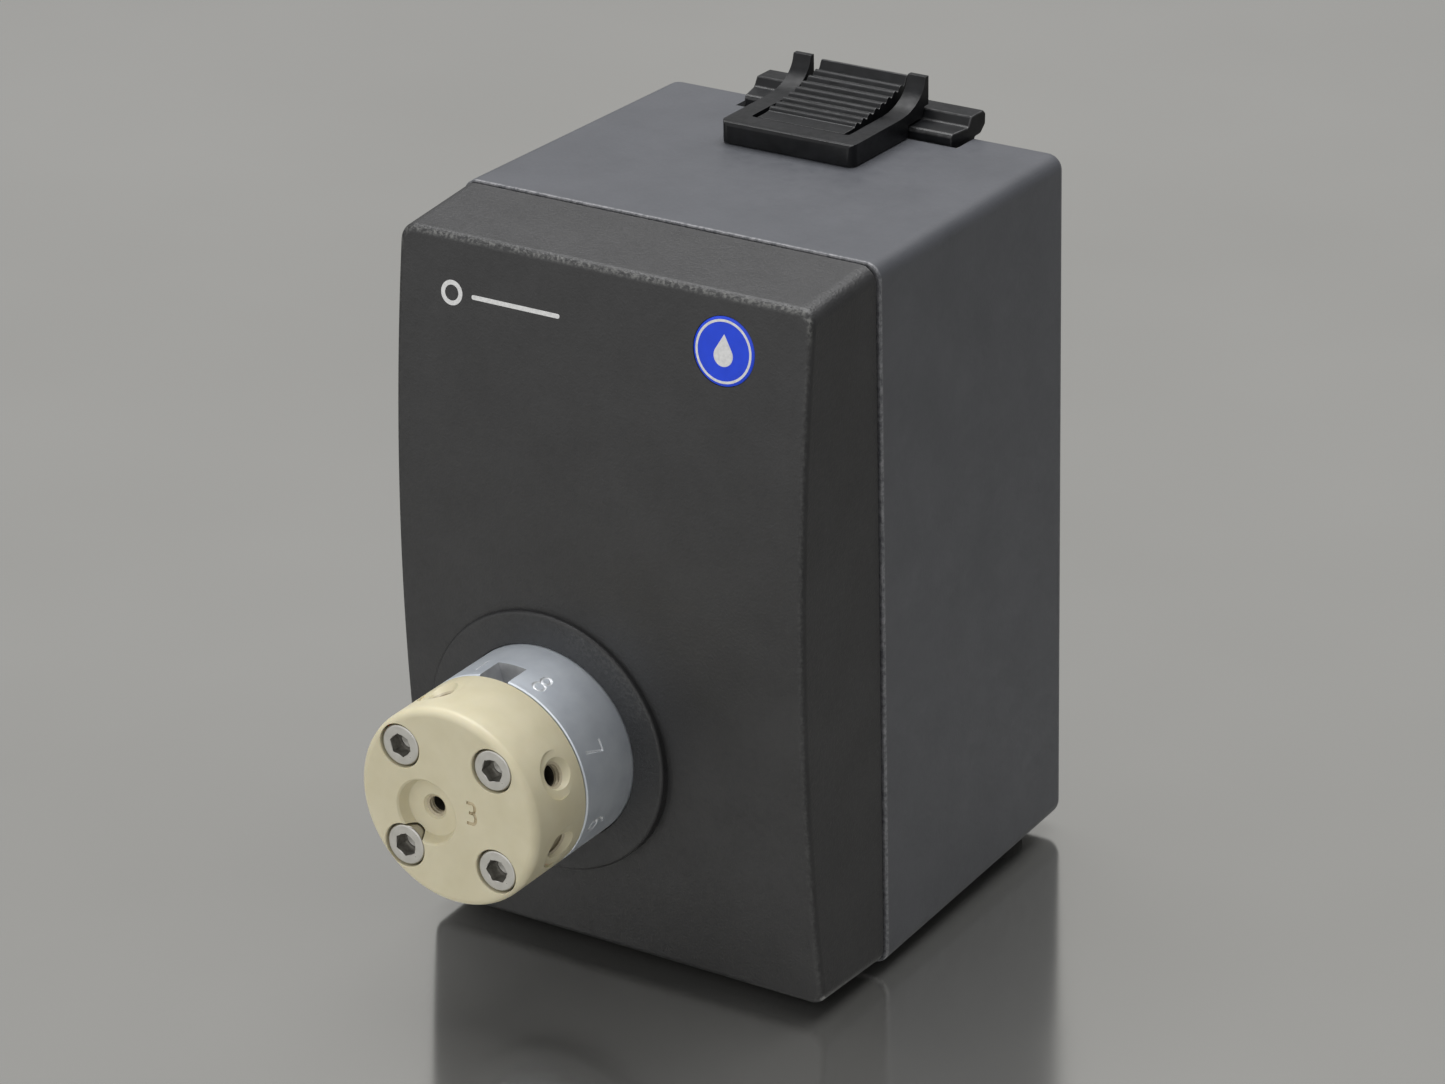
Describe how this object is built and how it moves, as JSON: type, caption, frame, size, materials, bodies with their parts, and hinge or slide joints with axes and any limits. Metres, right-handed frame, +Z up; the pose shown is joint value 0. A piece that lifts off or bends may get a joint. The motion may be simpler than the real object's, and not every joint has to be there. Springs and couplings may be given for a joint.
{
  "type": "motorised rotary multiport valve module",
  "caption": "Box-shaped drive module with a round multiport injection valve head on its bowed front and a spring release clip on top.",
  "frame": {"origin": "centre of the bounding box in plan, at the undersides of the rubber feet", "axes": "+Z up, -Y out of the front with the valve head, +X to the right as seen from the front"},
  "size_m": [0.088, 0.1278, 0.148],
  "materials": {
    "housing_paint": "satin, fine texture",
    "cover_plastic": "matte, fine moulded texture",
    "clip_plastic": "satin",
    "stator_polymer": "satin, machined",
    "aluminium": "satin, turned",
    "steel": "bright",
    "rubber": "matte",
    "dark_plastic": "satin",
    "board_green": "solder resist",
    "brass": "machined",
    "badge_blue": "smooth"
  },
  "bodies": {
    "casing": {"housing_shell": "housing_paint", "front_cover": "cover_plastic", "clip_frame": "clip_plastic", "stator_block": "stator_polymer", "distribution_plate": "stator_polymer", "valve_body_ring": "aluminium", "chassis_plate": "aluminium", "motor_plate": "aluminium", "connector_plate": "aluminium", "case_screw_1": "steel", "case_screw_2": "steel", "case_screw_3": "steel", "case_screw_4": "steel", "stator_screw_1": "steel", "stator_screw_2": "steel", "stator_screw_3": "steel", "stator_screw_4": "steel", "thrust_bearing": "steel", "shaft_bearing": "steel", "flange_screw_1": "steel", "flange_screw_2": "steel", "flange_screw_3": "steel", "gearbox": "steel", "gearbox_screw_1": "steel", "gearbox_screw_2": "steel", "plate_screw_1": "steel", "plate_screw_2": "steel", "plate_screw_3": "steel", "plate_screw_4": "steel", "clip_screw_left": "steel", "clip_screw_right": "steel", "foot_front_left": "rubber", "foot_front_right": "rubber", "foot_rear_left": "rubber", "foot_rear_right": "rubber", "motor_can": "dark_plastic", "bus_socket_left": "dark_plastic", "bus_socket_right": "dark_plastic", "address_switch": "dark_plastic", "control_board": "board_green", "position_sensor": "board_green", "plate_standoff_1": "brass", "plate_standoff_2": "brass", "plate_standoff_3": "brass", "plate_standoff_4": "brass", "shaft_bush": "brass", "badge_disc": "badge_blue"},
    "rotor": {"rotor_shaft": "steel", "channel_plate": "dark_plastic", "disc_spring_front": "steel", "disc_spring_rear": "steel", "retaining_clip": "steel", "drive_gear": "brass", "encoder_disc": "dark_plastic"},
    "pinion": {"motor_pinion": "steel"},
    "thumb_catch": {"thumb_tongue": "clip_plastic", "catch_bar": "clip_plastic"},
    "address_selector": {"address_dial": "stator_polymer"}
  },
  "joints": [
    {"name": "valve_turn", "type": "hinge", "parent": "casing", "child": "rotor", "pos_m": [-0.0115, 0, 0.0451], "axis": [0, -1, 0], "continuous": true},
    {"name": "pinion_turn", "type": "hinge", "parent": "casing", "child": "pinion", "pos_m": [-0.0115, 0, 0.0771], "axis": [0, -1, 0], "continuous": true},
    {"name": "latch_press", "type": "hinge", "parent": "casing", "child": "thumb_catch", "pos_m": [0, 0.03813, 0.1415], "axis": [1, 0, 0], "range_deg": [-5, 0], "stiffness_Nm_per_rad": 1.4, "springref_deg": 1.72},
    {"name": "dial_turn", "type": "hinge", "parent": "casing", "child": "address_selector", "pos_m": [0, 0, 0.1046], "axis": [0, 1, 0], "continuous": true}
  ],
  "couplings": [
    {"joint": "pinion_turn", "follows": "valve_turn", "ratio": -3}
  ]
}
